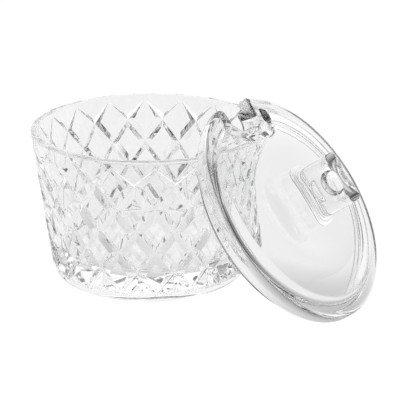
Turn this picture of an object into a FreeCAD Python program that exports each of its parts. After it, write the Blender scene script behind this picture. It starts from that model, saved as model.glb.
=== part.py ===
import FreeCAD, Part
import math
import os
import Sketcher
from FreeCAD import Placement, Rotation, Vector

# A clear pressed-glass serving dish: a flared bowl with a diamond relief, and
# a domed lid with a spoon notch and a tab knob. The lid leans on the bowl's rim.
# Frame: the origin is the middle of the bowl's flat base, +Z is up, and the
# lid leans on the bowl's +X side. All sizes are in millimetres and degrees.

DRIVING_SIZES = {
    # bowl, a cone with a smooth inside
    "rim_radius": 50.0,
    "cone_base_radius": 42.3,
    "bowl_height": 63.5,
    "rim_wall": 3.4,
    "rim_round": 1.3,
    "foot_radius": 41.4,
    "foot_height": 3.0,
    "foot_round": 1.4,
    "floor_height": 10.6,
    "floor_radius": 37.6,
    "floor_round": 4.0,
    # diamond relief on the outside of the bowl
    "diamonds_around": 18,
    "foot_tip_share": 0.25,
    "diamond_turn": 6.65,
    "first_crossing": 12.65,
    "crossing_pitch": 9.82,
    "relief_top": 60.4,
    "groove_depth": 2.0,
    "crown_share": 0.62,
    # lid, measured from the bottom of its locating ring
    "lid_radius": 49.0,
    "seat_height": 3.1,
    "ring_outside": 45.6,
    "ring_inside": 42.3,
    "ring_round": 0.8,
    "hollow_height": 11.5,
    "hollow_bend_radius": 30.0,
    "hollow_bend_round": 36.0,
    "hollow_edge_radius": 40.8,
    "hollow_edge_height": 6.5,
    "flange_top": 9.1,
    "flange_upper_round": 2.5,
    "flange_lower_round": 1.5,
    "dome_foot_radius": 43.8,
    "dome_shoulder_radius": 41.2,
    "dome_shoulder_height": 11.6,
    "dome_height": 17.7,
    "dome_round": 1.2,
    # spoon notch through the lid's rim
    "notch_half_width": 9.0,
    "notch_end": 36.0,
    "notch_mouth": 48.1,
    "notch_end_round": 5.0,
    "notch_mouth_round": 1.6,
    # shelf at flange height round the notch, and the glass that carries it
    "notch_shelf": 3.0,
    "notch_ring": 4.0,
    "notch_ring_reach": 43.0,
    "notch_ledge": 5.0,
    "notch_ledge_low": 6.0,
    "notch_ledge_top": 12.0,
    "notch_ledge_reach": 40.0,
    # knob, a tab with a finger dimple in each broad face
    "knob_seat": 17.1,
    "knob_length": 21.5,
    "knob_width": 9.0,
    "knob_height": 17.0,
    "knob_corner": 2.6,
    "knob_foot_length": 25.0,
    "knob_foot_width": 11.5,
    "knob_foot_height": 1.3,
    "knob_foot_corner": 3.4,
    "knob_joint_gap": 0.05,
    "dimple_radius": 10.8,
    "dimple_depth": 2.7,
    "dimple_height": 11.8,
    # the lid's lean: its axis tips this far from upright, towards +X
    "lean_angle": 52.14,
    "lean_reach": 66.3,
}

# Two lengths closer than this count as the same when an edge is looked up.
SAME = 0.01

doc = FreeCAD.newDocument("covered_dish")
sheet = doc.addObject("Spreadsheet::Sheet", "Sizes")


def fill_sheet():
    """Puts every driving size in a row of the sheet and gives it its name."""
    for row, (name, value) in enumerate(DRIVING_SIZES.items(), start=1):
        sheet.set(f"A{row}", name)
        sheet.set(f"B{row}", str(value))
        sheet.setAlias(f"B{row}", name)
    doc.recompute()


def size(name):
    return float(sheet.get(name))


def total(words):
    """Adds up names of sizes joined by + and -, such as 'rim_radius - rim_wall'."""
    value = 0.0
    sign = 1.0
    for word in words.split():
        if word in "+-":
            sign = 1.0 if word == "+" else -1.0
        elif word != "0":
            value += sign * size(word)
    return value


def formula(words):
    """Turns the same words into an expression that reads the sheet."""
    return " ".join(word if word in "+-0" else f"Sizes.{word}" for word in words.split())


# ---------------------------------------------------------------- sketches

def origin_plane(body, role):
    for feature in body.Origin.OriginFeatures:
        if feature.Role == role:
            return feature
    raise ValueError(f"no origin plane {role}")


def pin_coordinate(sketch, geometry, point, direction, words):
    """Holds one coordinate of a sketch point at a sum of sizes, or on an axis."""
    if words == "0":
        axis = -2 if direction == "DistanceX" else -1
        sketch.addConstraint(Sketcher.Constraint("PointOnObject", geometry, point, axis))
        return
    held = Sketcher.Constraint(direction, -1, 1, geometry, point, total(words))
    index = sketch.addConstraint(held)
    sketch.setExpression(f"Constraints[{index}]", formula(words))


def draw_outline(body, plane, name, corners, domes=()):
    """Draws a closed outline through corners, each a pair of sums of sizes.

    A side whose number is in domes is an arc with its centre on the vertical
    axis, and every other side is straight.
    """
    sketch = body.newObject("Sketcher::SketchObject", name)
    sketch.AttachmentSupport = [(origin_plane(body, plane), "")]
    sketch.MapMode = "FlatFace"
    points = [Vector(total(across), total(up), 0) for across, up in corners]
    starts = []
    for side, start in enumerate(points):
        end = points[(side + 1) % len(points)]
        if side in domes:
            starts.append(add_dome(sketch, start, end))
        else:
            sketch.addGeometry(Part.LineSegment(start, end), False)
            starts.append(1)
    for side, (across, up) in enumerate(corners):
        previous = side - 1 if side else len(points) - 1
        joined = Sketcher.Constraint(
            "Coincident", previous, 3 - starts[previous], side, starts[side])
        sketch.addConstraint(joined)
        pin_coordinate(sketch, side, starts[side], "DistanceX", across)
        pin_coordinate(sketch, side, starts[side], "DistanceY", up)
    return sketch


def add_dome(sketch, start, end):
    """Adds an arc from start to end about a centre on the vertical axis.

    It returns which end of the arc, 1 or 2, lies at start.
    """
    square = (end.x ** 2 + end.y ** 2) - (start.x ** 2 + start.y ** 2)
    centre = Vector(0, square / (2 * (end.y - start.y)), 0)
    angles = [math.atan2(point.y - centre.y, point.x) for point in (start, end)]
    circle = Part.Circle(centre, Vector(0, 0, 1), start.distanceToPoint(centre))
    arc = Part.ArcOfCircle(circle, min(angles), max(angles))
    index = sketch.addGeometry(arc, False)
    sketch.addConstraint(Sketcher.Constraint("PointOnObject", index, 3, -2))
    return 1 if angles[0] < angles[1] else 2


def revolve(body, sketch, name):
    turned = body.newObject("PartDesign::Revolution", name)
    turned.Profile = sketch
    turned.ReferenceAxis = (sketch, ["V_Axis"])
    turned.Angle = 360
    doc.recompute()
    return turned


def pad(body, sketch, name, length):
    raised = body.newObject("PartDesign::Pad", name)
    raised.Profile = sketch
    raised.setExpression("Length", formula(length))
    doc.recompute()
    return raised


def round_edges(body, name, radius, wanted):
    """Rounds the edges of the body so far that the test called wanted accepts."""
    base = body.Tip
    names = [f"Edge{number}" for number, edge in enumerate(base.Shape.Edges, start=1)
             if wanted(edge)]
    rounded = body.newObject("PartDesign::Fillet", name)
    rounded.Base = (base, names)
    rounded.setExpression("Radius", formula(radius))
    doc.recompute()
    return rounded


def circle_at(across, up):
    """Makes a test for the full circle of this radius at this height."""
    radius, height = total(across), total(up)

    def wanted(edge):
        if edge.Degenerated or not isinstance(edge.Curve, Part.Circle):
            return False
        same_size = abs(edge.Curve.Radius - radius) < SAME
        return same_size and abs(edge.Curve.Center.z - height) < SAME
    return wanted


def upright(edge):
    ends = [vertex.Point for vertex in edge.Vertexes]
    return len(ends) == 2 and math.hypot(ends[0].x - ends[1].x, ends[0].y - ends[1].y) < SAME


# -------------------------------------------------------------------- bowl

def cone_radius(height):
    """Radius of the bowl's plain outer cone at a height."""
    share = height / size("bowl_height")
    return size("cone_base_radius") + share * (size("rim_radius") - size("cone_base_radius"))


def ring_of_points(radius, height, half_steps):
    """One point per diamond around the bowl, turned by a number of half diamonds."""
    count = int(size("diamonds_around"))
    points = []
    for number in range(count):
        turn = math.radians(size("diamond_turn") + (number + half_steps / 2) * 360 / count)
        points.append(Vector(radius * math.cos(turn), radius * math.sin(turn), height))
    return points


def crossing_rows():
    """Rows of points where the grooves cross, from the foot up to the relief's top.

    Each row is turned by half a diamond against the one below it.
    """
    rows = [ring_of_points(size("foot_radius"), size("foot_height"), 0)]
    height = size("first_crossing")
    while height < size("relief_top") - size("crossing_pitch") / 2:
        radius = cone_radius(height) - size("groove_depth")
        rows.append(ring_of_points(radius, height, len(rows) % 2))
        height += size("crossing_pitch")
    top = size("relief_top")
    rows.append(ring_of_points(cone_radius(top), top, len(rows) % 2))
    return rows


def crown_rows(rows):
    """Tips of the diamonds, one row level with each row of crossings.

    A tip stands so far outside the cone that the cone cuts the diamond's
    four faces off at crown_share of its width.
    """
    rise = size("groove_depth") * size("crown_share") / (1 - size("crown_share"))
    tips = []
    for number, row in enumerate(rows):
        height = row[0].z
        if number == 0:
            height += size("foot_height")
        if number == len(rows) - 1:
            height -= size("foot_height")
        outside = rise * size("foot_tip_share") if number == 0 else rise
        tips.append(ring_of_points(cone_radius(height) + outside, height, (number + 1) % 2))
    return tips


def relief_faces():
    """Facets of a closed solid that holds the relief, wider than the plain bands."""
    rows = crossing_rows()
    tips = crown_rows(rows)
    count = len(rows[0])
    margin = size("rim_wall")
    wide = size("rim_radius") + margin
    low = ring_of_points(wide, -margin, 0)
    ledge = ring_of_points(wide, size("foot_height"), 0)
    high = ring_of_points(wide, size("bowl_height") + margin, (len(rows) - 1) % 2)
    facets = [low, high]
    for place in range(count):
        after = (place + 1) % count
        facets.append([low[place], low[after], ledge[after], ledge[place]])
        facets.append([ledge[place], ledge[after], rows[0][after], rows[0][place]])
        top_row, top_tips = rows[-1], tips[-1]
        tip = top_tips[place] if len(rows) % 2 else top_tips[after]
        facets.append([top_row[place], tip, high[place]])
        facets.append([tip, high[after], high[place]])
        facets.append([tip, top_row[after], high[after]])
        facets.append([rows[0][place], rows[0][after], tips[0][place]])
    for number, row in enumerate(rows):
        odd = number % 2
        for place in range(count):
            after = (place + 1) % count
            tip = tips[number][after if odd else place]
            left, right = row[place], row[after]
            middle = after if odd else place
            if number < len(rows) - 1:
                above = rows[number + 1][middle]
                facets.append([left, above, tip])
                facets.append([above, right, tip])
            if number > 0:
                below = rows[number - 1][middle]
                facets.append([left, tip, below])
                facets.append([below, tip, right])
    return facets


def make_relief():
    """The faceted envelope that cuts the diamonds out of the bowl's cone."""
    faces = [Part.Face(Part.makePolygon(facet + [facet[0]])) for facet in relief_faces()]
    shell = Part.makeShell(faces)
    shell.sewShape()
    solid = Part.makeSolid(shell)
    if solid.Volume < 0:
        solid.reverse()
    relief = doc.addObject("Part::Feature", "relief")
    relief.Shape = solid
    return relief


def make_bowl():
    """The bowl: a turned blank with a rounded rim, cut to the diamond relief."""
    body = doc.addObject("PartDesign::Body", "bowl_blank")
    corners = [
        ("0", "0"),
        ("foot_radius", "0"),
        ("foot_radius", "foot_height"),
        ("cone_base_radius", "foot_height"),
        ("rim_radius", "bowl_height"),
        ("rim_radius - rim_wall", "bowl_height"),
        ("floor_radius", "floor_height"),
        ("0", "floor_height"),
    ]
    profile = draw_outline(body, "XZ_Plane", "bowl_profile", corners)
    revolve(body, profile, "bowl_turned")
    round_edges(body, "foot_rounding", "foot_round", circle_at("foot_radius", "0"))
    round_edges(body, "rim_outer_rounding", "rim_round", circle_at("rim_radius", "bowl_height"))
    round_edges(body, "rim_inner_rounding", "rim_round",
                circle_at("rim_radius - rim_wall", "bowl_height"))
    round_edges(body, "floor_rounding", "floor_round", circle_at("floor_radius", "floor_height"))
    bowl = doc.addObject("Part::Common", "bowl")
    bowl.Base = body
    bowl.Tool = make_relief()
    bowl.Label = "bowl"
    doc.recompute()
    return bowl


# --------------------------------------------------------------------- lid

def make_lid_blank():
    """The lid as turned: locating ring, flange, dome and the hollow beneath it."""
    body = doc.addObject("PartDesign::Body", "lid_blank")
    corners = [
        ("0", "hollow_height"),
        ("hollow_bend_radius", "hollow_height"),
        ("hollow_edge_radius", "hollow_edge_height"),
        ("ring_inside", "0"),
        ("ring_outside", "0"),
        ("ring_outside", "seat_height"),
        ("lid_radius", "seat_height"),
        ("lid_radius", "flange_top"),
        ("dome_foot_radius", "flange_top"),
        ("dome_shoulder_radius", "dome_shoulder_height"),
        ("0", "dome_height"),
    ]
    profile = draw_outline(body, "XZ_Plane", "lid_profile", corners, domes=(9,))
    revolve(body, profile, "lid_turned")
    round_edges(body, "hollow_bend_rounding", "hollow_bend_round",
                circle_at("hollow_bend_radius", "hollow_height"))
    round_edges(body, "ring_outer_rounding", "ring_round", circle_at("ring_outside", "0"))
    round_edges(body, "ring_inner_rounding", "ring_round", circle_at("ring_inside", "0"))
    round_edges(body, "flange_lower_rounding", "flange_lower_round",
                circle_at("lid_radius", "seat_height"))
    round_edges(body, "flange_upper_rounding", "flange_upper_round",
                circle_at("lid_radius", "flange_top"))
    round_edges(body, "dome_foot_rounding", "dome_round",
                circle_at("dome_foot_radius", "flange_top"))
    return body


def make_notch_cutter():
    """The spoon notch: a round-ended slot that flares where it leaves the rim."""
    body = doc.addObject("PartDesign::Body", "notch_cutter")
    corners = [
        ("0 - notch_end", "0 - notch_half_width"),
        ("0 - notch_end", "notch_half_width"),
        ("0 - notch_mouth", "notch_half_width"),
        ("0 - notch_mouth", "notch_half_width + notch_half_width"),
        ("0 - notch_mouth - notch_half_width", "notch_half_width + notch_half_width"),
        ("0 - notch_mouth - notch_half_width", "0 - notch_half_width - notch_half_width"),
        ("0 - notch_mouth", "0 - notch_half_width - notch_half_width"),
        ("0 - notch_mouth", "0 - notch_half_width"),
    ]
    outline = draw_outline(body, "XY_Plane", "notch_outline", corners)
    pad(body, outline, "notch_block", "dome_height")

    def edge_at(across):
        def wanted(edge):
            if not upright(edge):
                return False
            point = edge.Vertexes[0].Point
            on_side = abs(abs(point.y) - size("notch_half_width")) < SAME
            return on_side and abs(point.x + size(across)) < SAME
        return wanted
    round_edges(body, "notch_end_rounding", "notch_end_round", edge_at("notch_end"))
    round_edges(body, "notch_mouth_rounding", "notch_mouth_round", edge_at("notch_mouth"))
    return body


def notch_surround(name, grow, low, high):
    """A round-ended block over the notch, wider than it by grow on every side."""
    body = doc.addObject("PartDesign::Body", name)
    corners = [
        (f"{grow} - notch_end", f"0 - notch_half_width - {grow}"),
        (f"{grow} - notch_end", f"notch_half_width + {grow}"),
        ("0 - lid_radius", f"notch_half_width + {grow}"),
        ("0 - lid_radius", f"0 - notch_half_width - {grow}"),
    ]
    outline = draw_outline(body, "XY_Plane", f"{name}_outline", corners)
    pad(body, outline, f"{name}_pad", f"{high} - {low}")

    def at_end(edge):
        if not upright(edge):
            return False
        return abs(edge.Vertexes[0].Point.x - total(f"{grow} - notch_end")) < SAME
    round_edges(body, f"{name}_rounding", f"notch_end_round + {grow}", at_end)
    body.setExpression("Placement.Base.z", formula(low))
    return body


def within_reach(name, block, reach):
    """The part of a block that lies within a radius of the lid's axis."""
    column = doc.addObject("Part::Cylinder", f"{name}_column")
    column.setExpression("Radius", formula(reach))
    column.setExpression("Height", formula("dome_height"))
    kept = doc.addObject("Part::Common", name)
    kept.Base = block
    kept.Tool = column
    return kept


def make_shelved_blank():
    """The turned lid with the thick margin and the shelf that surround its notch."""
    ring = notch_surround("notch_ring_block", "notch_ring", "0", "flange_top")
    ledge = notch_surround("notch_ledge_block", "notch_ledge", "notch_ledge_low",
                           "notch_ledge_top")
    filled = doc.addObject("Part::MultiFuse", "lid_filled")
    filled.Shapes = [make_lid_blank(),
                     within_reach("notch_ring_fill", ring, "notch_ring_reach"),
                     within_reach("notch_ledge_fill", ledge, "notch_ledge_reach")]
    shelved = doc.addObject("Part::Cut", "lid_shelved")
    shelved.Base = filled
    shelved.Tool = notch_surround("notch_shelf_cutter", "notch_shelf", "flange_top",
                                  "dome_height")
    return shelved


def rounded_block(name, length, width, height, corner):
    """A Part box about the axis, with its upright edges rounded."""
    box = doc.addObject("Part::Box", f"{name}_box")
    box.setExpression("Length", formula(length))
    box.setExpression("Width", formula(width))
    box.setExpression("Height", formula(height))
    box.setExpression("Placement.Base.x", f"-({formula(length)}) / 2")
    box.setExpression("Placement.Base.y", f"-({formula(width)}) / 2")
    box.setExpression("Placement.Base.z", formula("knob_seat"))
    doc.recompute()
    block = doc.addObject("Part::Fillet", name)
    block.Base = box
    block.Edges = [(number, total(corner), total(corner))
                   for number, edge in enumerate(box.Shape.Edges, start=1) if upright(edge)]
    doc.recompute()
    return block


def make_lid():
    """The lid: its blank with the notch's shelf, less the notch and the knob's shallow seat."""
    gap = "knob_joint_gap + knob_joint_gap"
    seat = rounded_block("knob_seat_cutter", f"knob_foot_length + {gap}",
                         f"knob_foot_width + {gap}", "knob_height",
                         "knob_foot_corner + knob_joint_gap")
    cutters = doc.addObject("Part::MultiFuse", "lid_cutters")
    cutters.Shapes = [make_notch_cutter(), seat]
    lid = doc.addObject("Part::Cut", "lid")
    lid.Base = make_shelved_blank()
    lid.Tool = cutters
    lid.Label = "lid"
    doc.recompute()
    return lid


# -------------------------------------------------------------------- knob

def make_dimple(side):
    """The ball that hollows one broad face of the knob, side +1 or -1."""
    ball = doc.addObject("Part::Sphere", "dimple_plus" if side > 0 else "dimple_minus")
    ball.setExpression("Radius", formula("dimple_radius"))
    reach = "Sizes.knob_width / 2 + Sizes.dimple_radius - Sizes.dimple_depth"
    ball.setExpression("Placement.Base.y", f"{side} * ({reach})")
    ball.setExpression("Placement.Base.z", formula("knob_seat + dimple_height"))
    return ball


def make_knob():
    """The knob: a rounded tab on a wider foot, dimpled for finger and thumb."""
    stem = rounded_block("knob_stem", "knob_length", "knob_width", "knob_height", "knob_corner")
    foot = rounded_block("knob_foot", "knob_foot_length", "knob_foot_width",
                         "knob_foot_height", "knob_foot_corner")
    dimples = doc.addObject("Part::MultiFuse", "dimples")
    dimples.Shapes = [make_dimple(1), make_dimple(-1)]
    tab = doc.addObject("Part::Cut", "knob_tab")
    tab.Base = stem
    tab.Tool = dimples
    knob = doc.addObject("Part::MultiFuse", "knob")
    knob.Shapes = [tab, foot]
    knob.Label = "knob"
    doc.recompute()
    return knob


# ---------------------------------------------------------------- assembly

def lean(piece):
    """Stands a lid piece on the rounded lower edge of the flange, tipped to +X."""
    angle = math.radians(size("lean_angle"))
    round_size = size("flange_lower_round")
    edge_centre_radius = size("lid_radius") - round_size
    edge_centre_height = size("seat_height") + round_size
    height = (round_size + edge_centre_radius * math.sin(angle)
              - edge_centre_height * math.cos(angle))
    reach = size("lean_reach") - size("seat_height") * math.sin(angle)
    turn = Rotation(Vector(0, 1, 0), size("lean_angle"))
    piece.Placement = Placement(Vector(reach, 0, height), turn)


def check_document():
    """Stops at a failed feature, because a recompute doesn't."""
    for feature in doc.Objects:
        if "Invalid" in feature.State or "Error" in feature.State:
            raise RuntimeError(f"{feature.Name} failed: {feature.State}")


def write_parts(pieces):
    os.makedirs("parts", exist_ok=True)
    for piece in pieces:
        shape = piece.Shape
        if shape.isNull() or not shape.isValid() or len(shape.Solids) != 1:
            raise RuntimeError(f"{piece.Label} isn't one valid solid")
        shape.exportStep(f"parts/{piece.Label}.step")
        print(piece.Label, round(shape.Volume), "mm3", shape.BoundBox)


fill_sheet()
bowl = make_bowl()
lid = make_lid()
knob = make_knob()
for piece in (lid, knob):
    lean(piece)
doc.recompute()
check_document()
write_parts([bowl, lid, knob])
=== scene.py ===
import math
import bpy
import numpy as np
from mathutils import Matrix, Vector
from mathutils.geometry import delaunay_2d_cdt


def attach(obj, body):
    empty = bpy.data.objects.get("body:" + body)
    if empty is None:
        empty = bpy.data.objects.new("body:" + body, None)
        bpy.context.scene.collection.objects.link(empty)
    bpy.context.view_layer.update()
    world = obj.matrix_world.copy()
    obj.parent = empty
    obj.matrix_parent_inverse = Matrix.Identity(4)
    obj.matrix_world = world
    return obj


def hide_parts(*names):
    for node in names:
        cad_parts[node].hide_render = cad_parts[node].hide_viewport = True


# A clear pressed-glass serving dish. The bowl stands on the origin with +Z up,
# and its domed lid leans on the rim on the +X side. Shapes are worked out in
# millimetres and degrees, and meshes are written in metres.

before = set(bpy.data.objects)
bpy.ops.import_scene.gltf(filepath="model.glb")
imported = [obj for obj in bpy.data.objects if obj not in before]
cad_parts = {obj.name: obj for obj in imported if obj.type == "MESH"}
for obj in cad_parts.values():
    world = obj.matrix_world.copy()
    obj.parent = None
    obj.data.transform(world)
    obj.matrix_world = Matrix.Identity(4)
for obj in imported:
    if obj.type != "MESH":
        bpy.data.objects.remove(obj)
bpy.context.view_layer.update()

MM = 0.001
QUARTER = math.pi / 2

# ---- bowl, a cone cut with a relief of pointed diamonds
RIM_RADIUS = 50.0
# radius of the cone at the table's level
CONE_BASE_RADIUS = 42.3
BOWL_HEIGHT = 63.5
RIM_WALL = 3.4
RIM_ROUND = 1.3
FOOT_RADIUS = 41.4
FOOT_HEIGHT = 3.0
FOOT_ROUND = 1.4
FLOOR_HEIGHT = 10.6
FLOOR_RADIUS = 37.6
FLOOR_ROUND = 4.0
DIAMONDS_AROUND = 18
DIAMOND_TURN = math.radians(6.65)
# heights at which the grooves cross; the first and last rows are half diamonds
ROW_HEIGHTS = (3.0, 12.65, 22.47, 32.29, 42.11, 51.93, 60.4)
GROOVE_DEPTH = 2.0
# size of a diamond's plain crown, which lies on the cone, as a share of the diamond's
CROWN_SHARE = 0.62
# the half diamonds' tips: nearer the cone at the foot, and this far from the straight edge
FOOT_TIP_SHARE = 0.25
TIP_SHIFT = 3.0
# how much corners are rounded: between facets, and between diamonds
CREST_SOFTNESS = 0.16
GROOVE_SOFTNESS = 0.22
# places across half a diamond, close together at the groove and at the bevel's top
HALF_KNOTS = (0, .006, .014, .035, .09, .155, .172, .183, .195, .208, .25, .35, .5)
DIAMOND_KNOTS = HALF_KNOTS + tuple(1 - knot for knot in reversed(HALF_KNOTS[:-1]))
KNOT_STEPS = len(DIAMOND_KNOTS) - 1
# how far above the relief the plain band starts, and how far below it the foot ring
BAND_GAP = 0.35
FOOT_GAP = 0.1
RIM_ROUND_STEPS = 7
FLOOR_ROUND_STEPS = 12
FOOT_ROUND_STEPS = 8

# ---- lid, measured from the bottom of its locating ring
LID_RADIUS = 49.0
SEAT_HEIGHT = 3.1
RING_OUTSIDE = 45.6
RING_INSIDE = 42.3
RING_ROUND = 0.8
RING_DRAFT = 0.05
HOLLOW_HEIGHT = 11.5
HOLLOW_BEND = 30.0
# radius and height
HOLLOW_EDGE = (40.8, 6.5)
FLANGE_TOP = 9.1
DOME_FOOT_RADIUS = 43.8
DOME_SHOULDER = (41.2, 11.6)
DOME_HEIGHT = 17.7
# how much the corners of the lid's section are rounded
SHOULDER_SOFTNESS = 0.24
DOME_FOOT_SOFTNESS = 0.46
RING_SOFTNESS = 1.4
HOLLOW_BEND_SOFTNESS = 3.7
HOLLOW_EDGE_SOFTNESS = 3.0
# rounding of the upper and lower edge, at the rim and in the notch, and between which
# distances from the lid's middle one turns into the other
EDGE_ROUND_RIM = (2.5, 1.5)
EDGE_ROUND_NOTCH = (1.1, 0.8)
EDGE_BLEND_RADII = (45.0, 48.6)
# places in from the edge, as shares of its rounding
EDGE_STEPS = (0, .01, .04, .1, .2, .34, .5, .72, 1)
# a place closer than this to the edge is on it
ON_EDGE = 0.001
# the spoon notch at -X; its end is measured from the lid's middle
NOTCH_HALF_WIDTH = 9.0
NOTCH_END = 36.0
NOTCH_END_ROUND = 5.0
NOTCH_MOUTH_ROUND = 1.6
NOTCH_CORNER = (-NOTCH_END - NOTCH_END_ROUND, NOTCH_HALF_WIDTH - NOTCH_END_ROUND)
# width of the flat shelf above and of the ring below, and how steeply each rises beyond
NOTCH_SHELF = 3.0
NOTCH_SHELF_RISE = 4.0
NOTCH_RING = 2.6
NOTCH_RING_RISE = 2.2
NOTCH_SOFTNESS = 0.7
# lines that divide the lid round the notch, by how far they are from it
NOTCH_GAPS = (2.0, 2.3, 2.6, 2.8, 3.0, 3.2, 3.4, 3.6, 3.9, 4.2, 4.5, 4.9, 5.4, 6.0, 6.7, 7.5, 8.3)
# circles that divide the lid, by radius, close together where its section bends
CROWN_RINGS = (2.0, 4.0)
DOME_RINGS = (17, 20, 23, 26, 29, 32, 35, 37, 38.5, 39, 39.4, 39.7)
SHOULDER_RINGS = (40, 40.3, 40.55, 40.8, 41.05, 41.2, 41.4, 41.6, 41.8, 42.05, 42.25, 42.45)
DOME_FOOT_RINGS = (42.7, 43, 43.3, 43.55, 43.8, 44.05, 44.3)
RING_EDGE_RINGS = (RING_OUTSIDE - RING_ROUND, 45.15, 45.4, 45.53)
RING_WALL_RINGS = (RING_OUTSIDE, RING_OUTSIDE + RING_DRAFT, 46)
CROWN_RING_POINTS = 12
RING_POINTS = 240
# spacing of the points along the lid's outline and the lines round the notch
RIM_SPACING = 1.1
MOUTH_SPACING = 0.3
NOTCH_SIDE_SPACING = 0.6
NOTCH_END_SPACING = 0.4
CHAIN_SPACING = 1.2
# points of the plan closer than this are one point
JOIN_DISTANCE = 1e-5
# the lid stands on the rounded lower edge of its flange, with its axis tipped to +X
LEAN_ANGLE = math.radians(52.14)
LEAN_REACH = 66.3

# ---- knob, a tab with a finger dimple in each broad face
KNOB_SEAT = 17.1
# half length, half width and corner radius
KNOB_FOOT = (12.5, 5.75, 3.4)
KNOB_STEM = (10.75, 4.5, 2.6)
KNOB_FOOT_HEIGHT = 1.3
KNOB_HEIGHT = 17.0
KNOB_TOP_ROUND = 0.8
# loops round the foot, by how far they are from it
KNOB_SKIRTS = (0.8, 1.5)
# rings that curve from the dome up to the foot: how far out, and how far above the dome
SKIRT_ROWS = ((0.5, 0.05), (0.25, 0.17), (0.08, 0.38), (0.0, 0.65))
# rings from the foot's edge in to the stem: share of the way, and height above the foot's top
FOOT_TOP_ROWS = ((0.0, -0.3), (0.1, -0.09), (0.3, 0.0), (0.62, 0.02), (0.84, 0.14),
                 (0.96, 0.36), (1.0, 0.7))
# the stem's rings start this far above the foot's top
STEM_START = 1.1
STEM_ROWS = 34
TOP_ROUND_STEPS = 6
KNOB_END_STEPS = 8
KNOB_FACE_STEPS = 36
KNOB_CORNER_STEPS = 7
DIMPLE_RADIUS = 10.8
DIMPLE_DEPTH = 2.7
DIMPLE_HEIGHT = 11.8
DIMPLE_SOFTNESS = 0.5


def soft_min(a, b, softness):
    """The smaller of a and b, with the corner between them rounded."""
    overlap = np.maximum(softness - np.abs(a - b), 0)
    return np.minimum(a, b) - overlap ** 2 / (4 * softness)


def soft_max(a, b, softness):
    """The larger of a and b, with the corner between them rounded."""
    return -soft_min(-a, -b, softness)


def smoothstep(low, high, value):
    """0 at low and 1 at high, with a smooth start and end."""
    share = np.clip((value - low) / (high - low), 0, 1)
    return share * share * (3 - 2 * share)


def unit(vectors):
    """The vectors with a length of one."""
    length = np.linalg.norm(vectors, axis=-1, keepdims=True)
    return vectors / np.maximum(length, 1e-12)


def join_rings(faces, low, high):
    """Adds the faces between two rings that have the same number of points."""
    for place in range(len(low)):
        after = (place + 1) % len(low)
        faces.append([low[place], low[after], high[after], high[place]])


def make_mesh_object(name, points, normals, faces):
    """A smooth-shaded mesh object with its own vertex normals, from millimetres."""
    mesh = bpy.data.meshes.new(name)
    mesh.from_pydata((np.asarray(points) * MM).tolist(), [], faces)
    mesh.validate()
    mesh.polygons.foreach_set("use_smooth", [True] * len(mesh.polygons))
    mesh.normals_split_custom_set_from_vertices(unit(np.asarray(normals)).tolist())
    made = bpy.data.objects.new(name, mesh)
    bpy.context.scene.collection.objects.link(made)
    return made


# ------------------------------------------------------------------ bowl

def cone_radius(height):
    """Radius of the bowl's cone, which the tops of the diamonds lie on."""
    return CONE_BASE_RADIUS + height / BOWL_HEIGHT * (RIM_RADIUS - CONE_BASE_RADIUS)


def row_turn(row, place):
    """Azimuth of a row's crossing. Each row is half a diamond on from the last."""
    return DIAMOND_TURN + (place + (row % 2) / 2) * 2 * math.pi / DIAMONDS_AROUND


def on_circle(radius, turn, height):
    return np.array([radius * math.cos(turn), radius * math.sin(turn), height])


def crossing(row, place):
    """Where two grooves cross, or end at the foot ring or the plain band."""
    height = ROW_HEIGHTS[row]
    radius = cone_radius(height) - GROOVE_DEPTH
    if row == 0:
        radius = FOOT_RADIUS
    if row == len(ROW_HEIGHTS) - 1:
        radius = cone_radius(height)
    return on_circle(radius, row_turn(row, place), height)


def crown_tip(row, place):
    """The point a diamond's facets would meet at, outside the cone."""
    height = ROW_HEIGHTS[row]
    outside = GROOVE_DEPTH * CROWN_SHARE / (1 - CROWN_SHARE)
    if row == 0:
        height += TIP_SHIFT
        outside *= FOOT_TIP_SHARE
    if row == len(ROW_HEIGHTS) - 1:
        height -= TIP_SHIFT
    return on_circle(cone_radius(height) + outside, row_turn(row, place + 0.5), height)


def facet_plane(a, b, tip):
    """Normal and offset of the plane through two crossings and a tip, facing out."""
    normal = np.cross(b - a, tip - a)
    if np.dot(normal[:2], tip[:2]) < 0:
        normal = -normal
    return np.append(normal, np.dot(normal, tip))


def diamond_facets(row, place):
    """Facets of the diamond between crossings place and place + 1 of a row."""
    left, right = crossing(row, place), crossing(row, place + 1)
    tip = crown_tip(row, place)
    middle = place + row % 2
    facets = []
    if row < len(ROW_HEIGHTS) - 1:
        above = crossing(row + 1, middle)
        facets += [facet_plane(left, above, tip), facet_plane(above, right, tip)]
    if row > 0:
        below = crossing(row - 1, middle)
        facets += [facet_plane(below, left, tip), facet_plane(right, below, tip)]
    else:
        facets.append(facet_plane(left, right, tip))
    return facets


def relief_radius(turn, height):
    """Radius of the bowl's outside at each azimuth and height, near place 0."""
    across, along = np.cos(turn), np.sin(turn)
    cone = cone_radius(height)
    radius = np.full_like(turn, FOOT_RADIUS)
    for row in range(len(ROW_HEIGHTS)):
        for place in range(-2, 3):
            diamond = cone
            for a, b, c, offset in diamond_facets(row, place):
                facing = np.maximum(a * across + b * along, 1e-6)
                facet = (offset - c * height) / facing
                diamond = soft_min(diamond, facet, CREST_SOFTNESS)
            radius = soft_max(radius, diamond, GROOVE_SOFTNESS)
    return radius


def relief_normals(turn, height):
    """Unit normals of the outside, from small steps round and up."""
    step_turn, step_height = 1e-4, 5e-3
    radius = relief_radius(turn, height)
    by_turn = (relief_radius(turn + step_turn, height)
               - relief_radius(turn - step_turn, height)) / (2 * step_turn)
    by_height = (relief_radius(turn, height + step_height)
                 - relief_radius(turn, height - step_height)) / (2 * step_height)
    outward = radius
    sideways = -by_turn
    upward = -by_height * radius
    return unit(np.stack([outward, sideways, upward], axis=-1))


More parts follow.
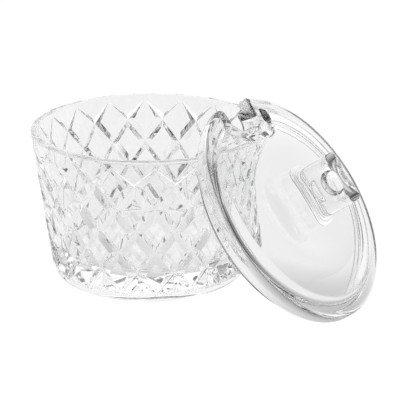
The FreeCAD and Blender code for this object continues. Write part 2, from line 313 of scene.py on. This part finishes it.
def diamond_grid(row):
    """Points of one diamond as (key, turn, height) by place along its two sides.

    A key is the point's whole-number place in the lattice, the same for the
    diamonds that share the point.
    """
    last = KNOT_STEPS
    odd = row % 2
    half_step = math.pi / DIAMONDS_AROUND
    centre = DIAMOND_TURN + (1 + odd) * half_step
    heights = ROW_HEIGHTS
    level = heights[row]
    is_foot = row == 0
    is_top = row == len(heights) - 1
    low = level if is_foot else heights[row - 1]
    high = level if is_top else heights[row + 1]
    grid = {}
    for i, u in enumerate(DIAMOND_KNOTS):
        for j, v in enumerate(DIAMOND_KNOTS):
            if (is_foot and i + j < last) or (is_top and i + j > last):
                continue
            turn = centre + (u - v) * half_step
            height = low * (1 - u) * (1 - v) + high * u * v + level * (u + v - 2 * u * v)
            if is_foot:
                height = level + (high - level) * (u + v - 1)
            if is_top:
                height = low + (level - low) * (u + v)
            key = (i - j + (1 + odd) * last, i + j + (row - 1) * last)
            grid[i, j] = (key, turn, height)
    return grid


def grid_faces(grid):
    """Faces of one diamond, as the keys of their corners."""
    faces = []
    for i in range(KNOT_STEPS):
        for j in range(KNOT_STEPS):
            corners = [(i, j), (i + 1, j), (i + 1, j + 1), (i, j + 1)]
            present = [corner for corner in corners if corner in grid]
            if len(present) > 2:
                faces.append([grid[corner][0] for corner in present])
    return faces


def relief_pattern():
    """One diamond of each row: the turn and height of each key, and the faces."""
    places, faces = {}, []
    for row in range(len(ROW_HEIGHTS)):
        grid = diamond_grid(row)
        for key, turn, height in grid.values():
            places[key] = (turn, height)
        faces += grid_faces(grid)
    return places, faces


def key_in_sector(key, sector):
    """The key of the same point in a diamond that is some diamonds further round."""
    steps = 2 * KNOT_STEPS
    return (key[0] + sector * steps) % (steps * DIAMONDS_AROUND), key[1]


def spun(vectors, turns):
    """Vectors (outward, sideways, up), each turned about the bowl's axis."""
    outward, sideways, up = vectors.T
    cosines, sines = np.cos(turns), np.sin(turns)
    return np.stack([outward * cosines - sideways * sines,
                     outward * sines + sideways * cosines, up], axis=-1)


def make_relief_sheet():
    """Points, normals, faces and the two edge rings of the bowl's cut outside."""
    places, pattern = relief_pattern()
    turns, heights = np.array(list(places.values())).T
    radii = relief_radius(turns, heights)
    section = np.column_stack([radii, np.zeros_like(radii), heights])
    facing = relief_normals(turns, heights)
    index, points, normals, faces = {}, [], [], []
    for sector in range(DIAMONDS_AROUND):
        spin = turns + sector * 2 * math.pi / DIAMONDS_AROUND
        for key, point, normal in zip(places, spun(section, spin), spun(facing, spin)):
            whole = key_in_sector(key, sector)
            if whole not in index:
                index[whole] = len(points)
                points.append(point)
                normals.append(normal)
    for sector in range(DIAMONDS_AROUND):
        for face in pattern:
            faces.append([index[key_in_sector(key, sector)] for key in face])
    bottom, top = 0, (len(ROW_HEIGHTS) - 1) * KNOT_STEPS
    rings = [[index[key] for key in sorted(k for k in index if k[1] == level)]
             for level in (bottom, top)]
    return points, normals, faces, rings


def corner_arc(before, corner, after, radius, steps, hollow=False):
    """Rounds a profile corner. A hollow corner has its normals towards the arc's centre."""
    to_before = unit(np.array(before, float) - corner)
    to_after = unit(np.array(after, float) - corner)
    half = math.acos(np.clip(np.dot(to_before, to_after), -1, 1)) / 2
    centre = corner + unit(to_before + to_after) * radius / math.sin(half)
    start = corner + to_before * radius / math.tan(half) - centre
    end = corner + to_after * radius / math.tan(half) - centre
    sweep = math.pi - 2 * half
    made = []
    for step in range(steps + 1):
        share = step / steps
        mix = math.sin((1 - share) * sweep) * start + math.sin(share * sweep) * end
        place = mix / math.sin(sweep)
        out = place / radius * (-1 if hollow else 1)
        made.append((*(centre + place), *out))
    return made


def turned_rows(points, normals, faces, ring, profile, turns):
    """Adds rings along a profile, joined to a ring that is already there."""
    for radius, height, out, up in profile:
        new = list(range(len(points), len(points) + len(ring)))
        for turn in turns:
            points.append(np.array([radius * math.cos(turn), radius * math.sin(turn), height]))
            normals.append(np.array([out * math.cos(turn), out * math.sin(turn), up]))
        join_rings(faces, ring, new)
        ring = new
    return ring


def close_middle(points, normals, faces, ring, height, up):
    """Closes a flat disc with a fan to its middle."""
    middle = len(points)
    points.append(np.array([0.0, 0.0, height]))
    normals.append(np.array([0.0, 0.0, up]))
    for place in range(len(ring)):
        faces.append([ring[place], ring[(place + 1) % len(ring)], middle])


def rim_profile():
    """Section of the plain band, the rim and the smooth inside, down to the floor."""
    rim_out = np.array([RIM_RADIUS, BOWL_HEIGHT])
    rim_in = np.array([RIM_RADIUS - RIM_WALL, BOWL_HEIGHT])
    floor_corner = np.array([FLOOR_RADIUS, FLOOR_HEIGHT])
    cone_foot = np.array([CONE_BASE_RADIUS, 0.0])
    band = ROW_HEIGHTS[-1] + BAND_GAP
    facing = unit(np.array([BOWL_HEIGHT, CONE_BASE_RADIUS - RIM_RADIUS]))
    profile = [(cone_radius(band), band, *facing)]
    profile += corner_arc(cone_foot, rim_out, rim_in, RIM_ROUND, RIM_ROUND_STEPS)
    profile += corner_arc(rim_out, rim_in, floor_corner, RIM_ROUND, RIM_ROUND_STEPS)
    profile += corner_arc(rim_in, floor_corner, (0, FLOOR_HEIGHT), FLOOR_ROUND,
                          FLOOR_ROUND_STEPS, hollow=True)
    return profile


def foot_profile():
    """Section of the foot ring's side and its rounded lower edge."""
    side_top = (FOOT_RADIUS, FOOT_HEIGHT)
    corner = np.array([FOOT_RADIUS, 0.0])
    profile = [(FOOT_RADIUS, FOOT_HEIGHT - FOOT_GAP, 1.0, 0.0)]
    profile += corner_arc(side_top, corner, (0, 0), FOOT_ROUND, FOOT_ROUND_STEPS)
    return profile


def make_bowl():
    """The bowl: cut outside, plain rim band, smooth inside, foot ring and flat base."""
    points, normals, faces, (foot_ring, top_ring) = make_relief_sheet()
    turns = [math.atan2(points[number][1], points[number][0]) for number in top_ring]
    ring = turned_rows(points, normals, faces, top_ring, rim_profile(), turns)
    close_middle(points, normals, faces, ring, FLOOR_HEIGHT, 1.0)
    low_faces = []
    ring = turned_rows(points, normals, low_faces, foot_ring, foot_profile(), turns)
    close_middle(points, normals, low_faces, ring, 0.0, -1.0)
    faces += [face[::-1] for face in low_faces]
    return make_mesh_object("glass_bowl", points, normals, faces)


# ------------------------------------------------------------------- lid

def cap_height(radius, top, edge):
    """Height of a sphere cap through its top and an edge point (radius, height)."""
    drop = top - edge[1]
    ball = (edge[0] ** 2 + drop ** 2) / (2 * drop)
    return top - ball + np.sqrt(np.maximum(ball ** 2 - radius ** 2, 0))


def notch_gap(plan):
    """How far places are from the spoon notch, measured across its straight sides."""
    beyond = plan[:, 0] - NOTCH_CORNER[0]
    aside = np.abs(plan[:, 1]) - NOTCH_CORNER[1]
    outside = np.hypot(np.maximum(beyond, 0), np.maximum(aside, 0))
    return outside + np.minimum(np.maximum(beyond, aside), 0) - NOTCH_END_ROUND


def lid_top(plan):
    """Height of the lid's upper side: a dome, cut down to a shelf round the notch."""
    radius = np.linalg.norm(plan, axis=-1)
    dome = cap_height(radius, DOME_HEIGHT, DOME_SHOULDER)
    shelf = FLANGE_TOP + (notch_gap(plan) - NOTCH_SHELF) * NOTCH_SHELF_RISE
    dome = soft_min(dome, shelf, NOTCH_SOFTNESS)
    fall = (DOME_SHOULDER[1] - FLANGE_TOP) / (DOME_FOOT_RADIUS - DOME_SHOULDER[0])
    step = FLANGE_TOP + (DOME_FOOT_RADIUS - radius) * fall
    dome = soft_min(dome, step, SHOULDER_SOFTNESS)
    return soft_max(dome, np.full_like(radius, FLANGE_TOP), DOME_FOOT_SOFTNESS)


def lid_bottom(plan):
    """Height of the lid's underside: a hollow, the locating ring and the seat."""
    radius = np.linalg.norm(plan, axis=-1)
    slant = (HOLLOW_HEIGHT - HOLLOW_EDGE[1]) / (HOLLOW_EDGE[0] - HOLLOW_BEND)
    fall = HOLLOW_EDGE[1] / (RING_INSIDE - HOLLOW_EDGE[0])
    flat = np.full_like(radius, HOLLOW_HEIGHT)
    slanted = HOLLOW_HEIGHT - (radius - HOLLOW_BEND) * slant
    hollow = soft_min(flat, slanted, HOLLOW_BEND_SOFTNESS)
    hollow = soft_min(hollow, (RING_INSIDE - radius) * fall, HOLLOW_EDGE_SOFTNESS)
    beside_notch = (notch_gap(plan) - NOTCH_RING) * NOTCH_RING_RISE
    hollow = soft_min(hollow, beside_notch, NOTCH_SOFTNESS)
    inner = soft_max(hollow, np.zeros_like(radius), RING_SOFTNESS)
    round_start = RING_OUTSIDE - RING_ROUND
    along = np.clip(radius - round_start, 0, RING_ROUND)
    rounded = RING_ROUND - np.sqrt(RING_ROUND ** 2 - along ** 2)
    up_wall = np.clip((radius - RING_OUTSIDE) / RING_DRAFT, 0, 1)
    outer = rounded + up_wall * (SEAT_HEIGHT - RING_ROUND)
    return np.where(radius < round_start, inner, outer)


def slopes_of(height_at, plan):
    """Slopes of a height along X and along Y."""
    step = 0.004
    shifts = np.eye(2) * step
    rises = [height_at(plan + shift) - height_at(plan - shift) for shift in shifts]
    return np.stack(rises, axis=-1) / (2 * step)


def arc_points(centre, radius, start, end, spacing):
    """Points along an arc without its last one. Angles are in radians."""
    steps = max(3, round(abs(end - start) * radius / spacing))
    angles = [start + (end - start) * step / steps for step in range(steps)]
    return [(centre[0] + radius * math.cos(a), centre[1] + radius * math.sin(a)) for a in angles]


def line_points(start, end, spacing):
    """Points along a straight line without its last one."""
    length = math.dist(start, end)
    steps = max(1, round(length / spacing))
    return [(start[0] + (end[0] - start[0]) * step / steps,
             start[1] + (end[1] - start[1]) * step / steps) for step in range(steps)]


def lid_outline():
    """The lid's outline seen from above, anticlockwise, with the spoon notch at -X."""
    mouth_y = NOTCH_HALF_WIDTH + NOTCH_MOUTH_ROUND
    mouth_x = -math.sqrt((LID_RADIUS - NOTCH_MOUTH_ROUND) ** 2 - mouth_y ** 2)
    opening = math.atan2(mouth_y, mouth_x)
    end_x, end_y = NOTCH_CORNER
    side = NOTCH_HALF_WIDTH
    outline = arc_points((0, 0), LID_RADIUS, -opening, opening, RIM_SPACING)
    outline += arc_points((mouth_x, mouth_y), NOTCH_MOUTH_ROUND, opening, 3 * QUARTER, MOUTH_SPACING)
    outline += line_points((mouth_x, side), (end_x, side), NOTCH_SIDE_SPACING)
    outline += arc_points((end_x, end_y), NOTCH_END_ROUND, QUARTER, 0, NOTCH_END_SPACING)
    outline += line_points((-NOTCH_END, end_y), (-NOTCH_END, -end_y), NOTCH_SIDE_SPACING)
    outline += arc_points((end_x, -end_y), NOTCH_END_ROUND, 0, -QUARTER, NOTCH_END_SPACING)
    outline += line_points((end_x, -side), (mouth_x, -side), NOTCH_SIDE_SPACING)
    outline += arc_points((mouth_x, -mouth_y), NOTCH_MOUTH_ROUND, -3 * QUARTER, -opening, MOUTH_SPACING)
    return np.array(outline)


def outline_normals(outline):
    """The way out from each point of a closed anticlockwise outline."""
    along = np.roll(outline, -1, axis=0) - np.roll(outline, 1, axis=0)
    return unit(np.stack([along[:, 1], -along[:, 0]], axis=-1))


def edge_rounding(foot, side):
    """Radius of the rounded edge for outline points, side 0 above and 1 below."""
    share = smoothstep(*EDGE_BLEND_RADII, np.linalg.norm(foot, axis=-1))
    return EDGE_ROUND_NOTCH[side] + share * (EDGE_ROUND_RIM[side] - EDGE_ROUND_NOTCH[side])


def nearest_on_outline(places, outline, outward):
    """Distance in from the outline, its nearest point and the way out there."""
    start, end = outline, np.roll(outline, -1, axis=0)
    side = end - start
    reach = places[:, None, :] - start[None]
    share = np.clip(np.sum(reach * side, axis=-1) / np.sum(side * side, axis=-1), 0, 1)
    gap = np.linalg.norm(reach - share[..., None] * side, axis=-1)
    best = np.argmin(gap, axis=1)
    rows = np.arange(len(places))
    part = share[rows, best][:, None]
    foot = start[best] + part * side[best]
    way = unit((1 - part) * outward[best] + part * np.roll(outward, -1, axis=0)[best])
    return gap[rows, best], foot, way


def rounded_rectangle(half_length, half_width, corner, grow=0.0):
    """Points round a rectangle with round corners, anticlockwise, grown all round."""
    corner += grow
    flat_x = half_length + grow - corner
    flat_y = half_width + grow - corner
    middles = np.array([(flat_x, -flat_y), (flat_x, flat_y), (-flat_x, flat_y), (-flat_x, -flat_y)])
    points = []
    for side in range(4):
        start, end = middles[side], middles[(side + 1) % 4]
        steps = (KNOB_END_STEPS, KNOB_FACE_STEPS)[side % 2]
        way = np.array([math.cos(side * QUARTER), math.sin(side * QUARTER)])
        for step in range(steps):
            points.append(start + (end - start) * step / steps + corner * way)
        for step in range(KNOB_CORNER_STEPS):
            angle = (side + step / KNOB_CORNER_STEPS) * QUARTER
            points.append(end + corner * np.array([math.cos(angle), math.sin(angle)]))
    return np.array(points)


def inside_outline(places, outline):
    """True for places inside a closed outline, by counting crossings."""
    x, y = places[:, :1], places[:, 1:]
    ax, ay = outline[:, 0], outline[:, 1]
    bx, by = np.roll(ax, -1), np.roll(ay, -1)
    spans = (ay > y) != (by > y)
    meets = ax + (y - ay) * (bx - ax) / np.where(by == ay, 1e-12, by - ay)
    return np.sum(spans & (x < meets), axis=1) % 2 == 1


def circle_points(radius, count):
    """Points round a circle, the first half a step on from +X."""
    angles = (np.arange(count) + 0.5) * 2 * math.pi / count
    return radius * np.stack([np.cos(angles), np.sin(angles)], axis=-1)


def notch_chains():
    """Open lines round the notch, which divide the plan where its shelf ends."""
    chains = []
    end_x, end_y = NOTCH_CORNER
    for gap in NOTCH_GAPS:
        reach = NOTCH_END_ROUND + gap
        near, far = end_x + reach, end_x - reach
        side = end_y + reach
        chain = line_points((far, side), (end_x, side), CHAIN_SPACING)
        chain += arc_points((end_x, end_y), reach, QUARTER, 0, CHAIN_SPACING)
        chain += line_points((near, end_y), (near, -end_y), CHAIN_SPACING)
        chain += arc_points((end_x, -end_y), reach, 0, -QUARTER, CHAIN_SPACING)
        chain += line_points((end_x, -side), (far, -side), CHAIN_SPACING)
        chain = np.array(chain)
        chains.append(chain[np.linalg.norm(chain, axis=-1) < DOME_FOOT_RADIUS])
    return chains


def plan_loops(outline, outward):
    """Closed loops that divide the lid's plan, and the number of the knob's loop."""
    reach = edge_rounding(outline, 0)[:, None]
    rings = DOME_RINGS + SHOULDER_RINGS + DOME_FOOT_RINGS + RING_EDGE_RINGS + RING_WALL_RINGS
    loops = [outline - outward * reach * step for step in EDGE_STEPS]
    loops += [circle_points(radius, CROWN_RING_POINTS) for radius in CROWN_RINGS]
    loops += [circle_points(radius, RING_POINTS) for radius in rings]
    knob_loop = len(loops)
    loops += [rounded_rectangle(*KNOB_FOOT, grow) for grow in KNOB_SKIRTS]
    return loops, knob_loop


def divide_plan(loops, knob_loop, outline):
    """Triangles of the lid's plan, and the point numbers of the knob's loop."""
    points, edges, starts = [], [], []
    for loop in loops:
        start = len(points)
        starts.append(start)
        points += [Vector(place) for place in loop.tolist()]
        edges += [(start + k, start + (k + 1) % len(loop)) for k in range(len(loop))]
    for chain in notch_chains():
        start = len(points)
        points += [Vector(place) for place in chain.tolist()]
        edges += [(start + k, start + k + 1) for k in range(len(chain) - 1)]
    made, _, faces, sources, _, _ = delaunay_2d_cdt(points, edges, [], 0, JOIN_DISTANCE, True)
    made = np.array([tuple(place) for place in made])
    faces = np.array([list(face) for face in faces])
    middles = made[faces].mean(axis=1)
    faces = faces[inside_outline(middles, outline)]
    where = {source: number for number, group in enumerate(sources) for source in group}
    first = starts[knob_loop]
    knob_ring = [where[first + k] for k in range(len(loops[knob_loop]))]
    return made, faces, knob_ring


def sheet_side(plan, outline, outward, side):
    """Heights and normals of one side of the lid over its plan."""
    height_at = (lid_top, lid_bottom)[side]
    facing = (1, -1)[side]
    gap, foot, way = nearest_on_outline(plan, outline, outward)
    reach = edge_rounding(foot, side)
    share = np.clip(1 - gap / reach, 0, 1)
    share = np.where(gap < ON_EDGE, 1.0, share)
    drop = reach * (1 - np.sqrt(1 - share ** 2))
    height = height_at(plan) - facing * drop
    plain = np.column_stack([-slopes_of(height_at, plan), np.ones(len(plan))])
    plain = unit(plain) * facing
    outwards = np.concatenate([way, np.zeros((len(way), 1))], axis=-1)
    across = share[:, None]
    normals = unit(outwards * across + plain * np.sqrt(1 - across ** 2))
    return height, normals


def boundary_edges(faces):
    """Edges that only one triangle uses, in that triangle's direction."""
    used = set()
    for face in faces:
        for k in range(3):
            used.add((face[k], face[(k + 1) % 3]))
    return [edge for edge in used if (edge[1], edge[0]) not in used]


def dimpled(outline, height):
    """Moves knob points in to the finger dimple on their side."""
    away = outline[:, 0] ** 2 + (height - KNOB_SEAT - DIMPLE_HEIGHT) ** 2
    ball_middle = KNOB_STEM[1] + DIMPLE_RADIUS - DIMPLE_DEPTH
    ball = ball_middle - np.sqrt(np.maximum(DIMPLE_RADIUS ** 2 - away, 0))
    depth = soft_min(np.abs(outline[:, 1]), ball, DIMPLE_SOFTNESS)
    return np.column_stack([outline[:, 0], np.sign(outline[:, 1]) * depth])


def between(first, second, share):
    """Sizes a share of the way from the first ones to the second."""
    return tuple(a + (b - a) * share for a, b in zip(first, second))


def level_row(outline, height):
    """An outline as a ring of 3-D points at one height."""
    return np.column_stack([outline, np.full(len(outline), height)])


def knob_rows():
    """Rings of the knob from the dome up, each a set of 3-D points."""
    rows = []
    for grow, rise in SKIRT_ROWS:
        ring = rounded_rectangle(*KNOB_FOOT, grow)
        rows.append(np.column_stack([ring, lid_top(ring) + rise]))
    foot_top = KNOB_SEAT + KNOB_FOOT_HEIGHT
    for share, rise in FOOT_TOP_ROWS:
        ring = rounded_rectangle(*between(KNOB_FOOT, KNOB_STEM, share))
        rows.append(level_row(ring, foot_top + rise))
    stem = rounded_rectangle(*KNOB_STEM)
    shoulder = KNOB_SEAT + KNOB_HEIGHT - KNOB_TOP_ROUND
    for height in np.linspace(foot_top + STEM_START, shoulder, STEM_ROWS):
        rows.append(level_row(dimpled(stem, height), height))
    for step in range(1, TOP_ROUND_STEPS + 1):
        turn = step / TOP_ROUND_STEPS * QUARTER
        height = shoulder + KNOB_TOP_ROUND * math.sin(turn)
        edge = dimpled(stem, height)
        inset = outline_normals(edge) * KNOB_TOP_ROUND * (1 - math.cos(turn))
        rows.append(level_row(edge - inset, height))
    return rows


def grid_normals(rows):
    """Normals of a closed grid of rings, from its neighbours round and up."""
    grid = np.array(rows)
    around = np.roll(grid, -1, axis=1) - np.roll(grid, 1, axis=1)
    up = np.gradient(grid, axis=0)
    return unit(np.cross(around, up))


def add_knob(points, normals, faces, ring):
    """Builds the knob up from the ring of lid points that it stands on."""
    first = np.array([points[number] for number in ring])
    rows = [first] + knob_rows()
    row_normals = grid_normals(rows)
    row_normals[-1] = (0, 0, 1)
    for row, row_normal in zip(rows[1:], row_normals[1:]):
        new = list(range(len(points), len(points) + len(ring)))
        points.extend(row)
        normals.extend(row_normal)
        join_rings(faces, ring, new)
        ring = new
    faces.append(ring)


def tipped(vectors):
    """Lid vectors turned from upright to the lid's lean."""
    cosine, sine = math.cos(LEAN_ANGLE), math.sin(LEAN_ANGLE)
    x, y, z = np.asarray(vectors).T
    return np.stack([cosine * x + sine * z, y, cosine * z - sine * x], axis=-1)


def lean_base():
    """Where the middle of the ring's lower face is, with the lid's edge on the table."""
    cosine, sine = math.cos(LEAN_ANGLE), math.sin(LEAN_ANGLE)
    edge_round = EDGE_ROUND_RIM[1]
    reach = LEAN_REACH - SEAT_HEIGHT * sine
    height = edge_round + (LID_RADIUS - edge_round) * sine - (SEAT_HEIGHT + edge_round) * cosine
    return np.array([reach, 0.0, height])


def make_lid():
    """The lid and its knob as one closed body of glass, in the leaning position."""
    outline = lid_outline()
    outward = outline_normals(outline)
    loops, knob_loop = plan_loops(outline, outward)
    plan, triangles, knob_ring = divide_plan(loops, knob_loop, outline)
    top_height, top_normals = sheet_side(plan, outline, outward, 0)
    low_height, low_normals = sheet_side(plan, outline, outward, 1)
    count = len(plan)
    points = list(np.column_stack([plan, top_height]))
    points += list(np.column_stack([plan, low_height]))
    normals = list(top_normals) + list(low_normals)
    under_knob = inside_outline(plan[triangles].mean(axis=1), loops[knob_loop])
    faces = triangles[~under_knob].tolist()
    faces += [[c + count, b + count, a + count] for a, b, c in triangles.tolist()]
    for a, b in boundary_edges(triangles.tolist()):
        faces.append([b, a, a + count, b + count])
    add_knob(points, normals, faces, knob_ring)
    return make_mesh_object("glass_lid", tipped(points) + lean_base(), tipped(normals), faces)


# ------------------------------------------------------------- materials

# From here on, sizes are in metres.

WHITE = (1, 1, 1, 1)
GLASS_IOR = 1.5
POLISH_HAZE = 0.006
# the tint's trace of colour, from the ripple's low parts to its high ones
GLASS_TINTS = ((0.985, 0.988, 0.99, 1), (0.997, 0.997, 0.997, 1))
RIPPLE_DETAIL = 2.0
RIPPLE_ROUGHNESS = 0.45
RIPPLE_HEIGHT = 0.00004
BOWL_RIPPLE_SCALE = 60.0
LID_RIPPLE_SCALE = 45.0

FLOOR_ALBEDO = (0.1, 0.1, 0.1, 1)
FLOOR_ROUGHNESS = 0.9
# the floor's painted glow, which stands in for light on the table, fades this way into painted shade on
# the camera side, between these distances from the bowl's axis
FLOOR_PAINTED_SHADE_SIDE = (0.530, -0.848, 0.0)
FLOOR_PAINTED_SHADE_FROM = 0.0
FLOOR_PAINTED_SHADE_TO = 0.13
FLOOR_PAINTED_GLOW = 0.9
FLOOR_PAINTED_GLOW_IN_SHADE = 0.0


def add_node(tree, kind, **settings):
    """A node with some of its inputs set. A name has _ where the input's has a space."""
    node = tree.nodes.new(kind)
    for name, value in settings.items():
        node.inputs[name.replace("_", " ")].default_value = value
    return node


def new_material(name):
    """A material, its node tree and its shader."""
    material = bpy.data.materials.new(name)
    material.use_nodes = True
    tree = material.node_tree
    return material, tree, tree.nodes["Principled BSDF"]


def value_along(tree, place, way, **limits):
    """A value by how far a place is along a way, from To Min at From Min to To Max."""
    distance = tree.nodes.new("ShaderNodeVectorMath")
    distance.operation = "DOT_PRODUCT"
    distance.inputs[1].default_value = way
    tree.links.new(place, distance.inputs[0])
    mapped = add_node(tree, "ShaderNodeMapRange", **limits)
    tree.links.new(distance.outputs["Value"], mapped.inputs["Value"])
    return mapped.outputs["Result"]


def full_where_seen(tree, brightness):
    """A brightness that is never under 1 where it is seen directly, not through glass."""
    seen = tree.nodes.new("ShaderNodeLightPath")
    larger = tree.nodes.new("ShaderNodeMath")
    larger.operation = "MAXIMUM"
    tree.links.new(brightness, larger.inputs[0])
    tree.links.new(seen.outputs["Is Camera Ray"], larger.inputs[1])
    return larger.outputs["Value"]


def make_glass(name, ripple_scale):
    """Clear pressed glass: faint mould ripple, a trace of tint and near-mirror polish."""
    material, tree, shader = new_material(name)
    shader.inputs["Transmission Weight"].default_value = 1.0
    shader.inputs["IOR"].default_value = GLASS_IOR
    place = tree.nodes.new("ShaderNodeTexCoord")
    ripple = add_node(tree, "ShaderNodeTexNoise", Scale=ripple_scale, Detail=RIPPLE_DETAIL,
                      Roughness=RIPPLE_ROUGHNESS)
    tree.links.new(place.outputs["Object"], ripple.inputs["Vector"])
    bump = add_node(tree, "ShaderNodeBump", Strength=1.0, Distance=RIPPLE_HEIGHT)
    tree.links.new(ripple.outputs["Fac"], bump.inputs["Height"])
    tree.links.new(bump.outputs["Normal"], shader.inputs["Normal"])
    polish = add_node(tree, "ShaderNodeMapRange", To_Min=0.0, To_Max=POLISH_HAZE)
    tree.links.new(ripple.outputs["Fac"], polish.inputs["Value"])
    tree.links.new(polish.outputs["Result"], shader.inputs["Roughness"])
    tint = tree.nodes.new("ShaderNodeValToRGB")
    for stop, colour in zip(tint.color_ramp.elements, GLASS_TINTS):
        stop.color = colour
    tree.links.new(ripple.outputs["Fac"], tint.inputs["Fac"])
    tree.links.new(tint.outputs["Color"], shader.inputs["Base Color"])
    return material


def make_painted_glow_floor_material():
    """A plain pale matt floor whose paleness is painted light: it glows like a light table, and its
    glow fades into painted shade at the front.
    """
    material, tree, shader = new_material("painted_glow_floor")
    shader.inputs["Base Color"].default_value = FLOOR_ALBEDO
    shader.inputs["Roughness"].default_value = FLOOR_ROUGHNESS
    shader.inputs["Specular IOR Level"].default_value = 0.0
    shader.inputs["Emission Color"].default_value = WHITE
    place = tree.nodes.new("ShaderNodeTexCoord")
    # painted light and shade: the glow is full behind the dish and fades to painted shade towards the
    # camera
    glow = value_along(tree, place.outputs["Object"], FLOOR_PAINTED_SHADE_SIDE,
                       From_Min=FLOOR_PAINTED_SHADE_FROM, From_Max=FLOOR_PAINTED_SHADE_TO,
                       To_Min=FLOOR_PAINTED_GLOW, To_Max=FLOOR_PAINTED_GLOW_IN_SHADE)
    # seen directly the floor stays fully white, so the painted glow and its painted shade show only
    # through the glass
    tree.links.new(full_where_seen(tree, glow), shader.inputs["Emission Strength"])
    return material


# ------------------------------------------------------ floor, light, camera

FLOOR_HALF = 4.0
FLOOR_GAP = 0.0002
# Soft lights round the studio: which way they stand, the cosines of their outer
# edge and of their core, and how bright they are on top of the room's own light.
SOFT_LIGHTS = (
    ((-0.498, 0.797, 0.342), 0.45, 0.9, 1.1),
    ((0.509, -0.814, 0.28), 0.75, 0.95, 0.35),
)
ROOM_LIGHT = 0.12
LIGHT_BOUNCES = 24
GLASS_BOUNCES = 20
CAMERA_PLACE = (0.3008, -0.4407, 0.2267)
CAMERA_TARGET = (0.01811, 0.01133, 0.02954)
CAMERA_LENS = 118.9
CAMERA_SENSOR = 36.0


def make_floor():
    """A wide flat floor, a hair under the dish."""
    corners = [(-1, -1), (1, -1), (1, 1), (-1, 1)]
    mesh = bpy.data.meshes.new("floor")
    points = [(x * FLOOR_HALF, y * FLOOR_HALF, -FLOOR_GAP) for x, y in corners]
    mesh.from_pydata(points, [], [(0, 1, 2, 3)])
    mesh.materials.append(make_painted_glow_floor_material())
    floor = bpy.data.objects.new("floor", mesh)
    bpy.context.scene.collection.objects.link(floor)


def studio_brightness(tree):
    """The room's light plus each soft light, by direction."""
    place = tree.nodes.new("ShaderNodeTexCoord")
    brightness = None
    for side, edge, core, strength in SOFT_LIGHTS:
        glow = value_along(tree, place.outputs["Generated"], side,
                           From_Min=edge, From_Max=core, To_Min=0.0, To_Max=strength)
        total = tree.nodes.new("ShaderNodeMath")
        total.inputs[0].default_value = ROOM_LIGHT
        if brightness:
            tree.links.new(brightness, total.inputs[0])
        tree.links.new(glow, total.inputs[1])
        brightness = total.outputs["Value"]
    return brightness


def make_world():
    """Studio light: a wide soft light behind the dish and a small one in front."""
    scene = bpy.context.scene
    scene.view_settings.view_transform = "Standard"
    scene.world = bpy.data.worlds.new("studio")
    scene.world.use_nodes = True
    tree = scene.world.node_tree
    back = tree.nodes["Background"]
    back.inputs["Color"].default_value = WHITE
    brightness = full_where_seen(tree, studio_brightness(tree))
    tree.links.new(brightness, back.inputs["Strength"])


def make_light_paths():
    """Lets light pass through all the glass faces that the relief stacks up."""
    cycles = bpy.context.scene.cycles
    cycles.max_bounces = LIGHT_BOUNCES
    cycles.glossy_bounces = GLASS_BOUNCES
    cycles.transmission_bounces = GLASS_BOUNCES


def make_camera():
    """A long lens in front of the dish, looking down at it."""
    data = bpy.data.cameras.new("camera")
    data.sensor_width = CAMERA_SENSOR
    data.lens = CAMERA_LENS
    camera = bpy.data.objects.new("camera", data)
    bpy.context.scene.collection.objects.link(camera)
    camera.location = CAMERA_PLACE
    way = Vector(CAMERA_TARGET) - Vector(CAMERA_PLACE)
    camera.rotation_euler = way.to_track_quat("-Z", "Y").to_euler()
    bpy.context.scene.camera = camera


# ---------------------------------------------------------------- the dish

def finish_piece(piece, body, nodes, material):
    """Gives a piece its material, puts it under its body, and hides the CAD nodes it stands in for."""
    piece.data.materials.append(material)
    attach(piece, body)
    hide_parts(*nodes)


finish_piece(make_bowl(), "bowl", ("bowl",), make_glass("bowl_glass", BOWL_RIPPLE_SCALE))
finish_piece(make_lid(), "lid", ("lid", "knob"), make_glass("lid_glass", LID_RIPPLE_SCALE))
make_floor()
make_world()
make_light_paths()
make_camera()
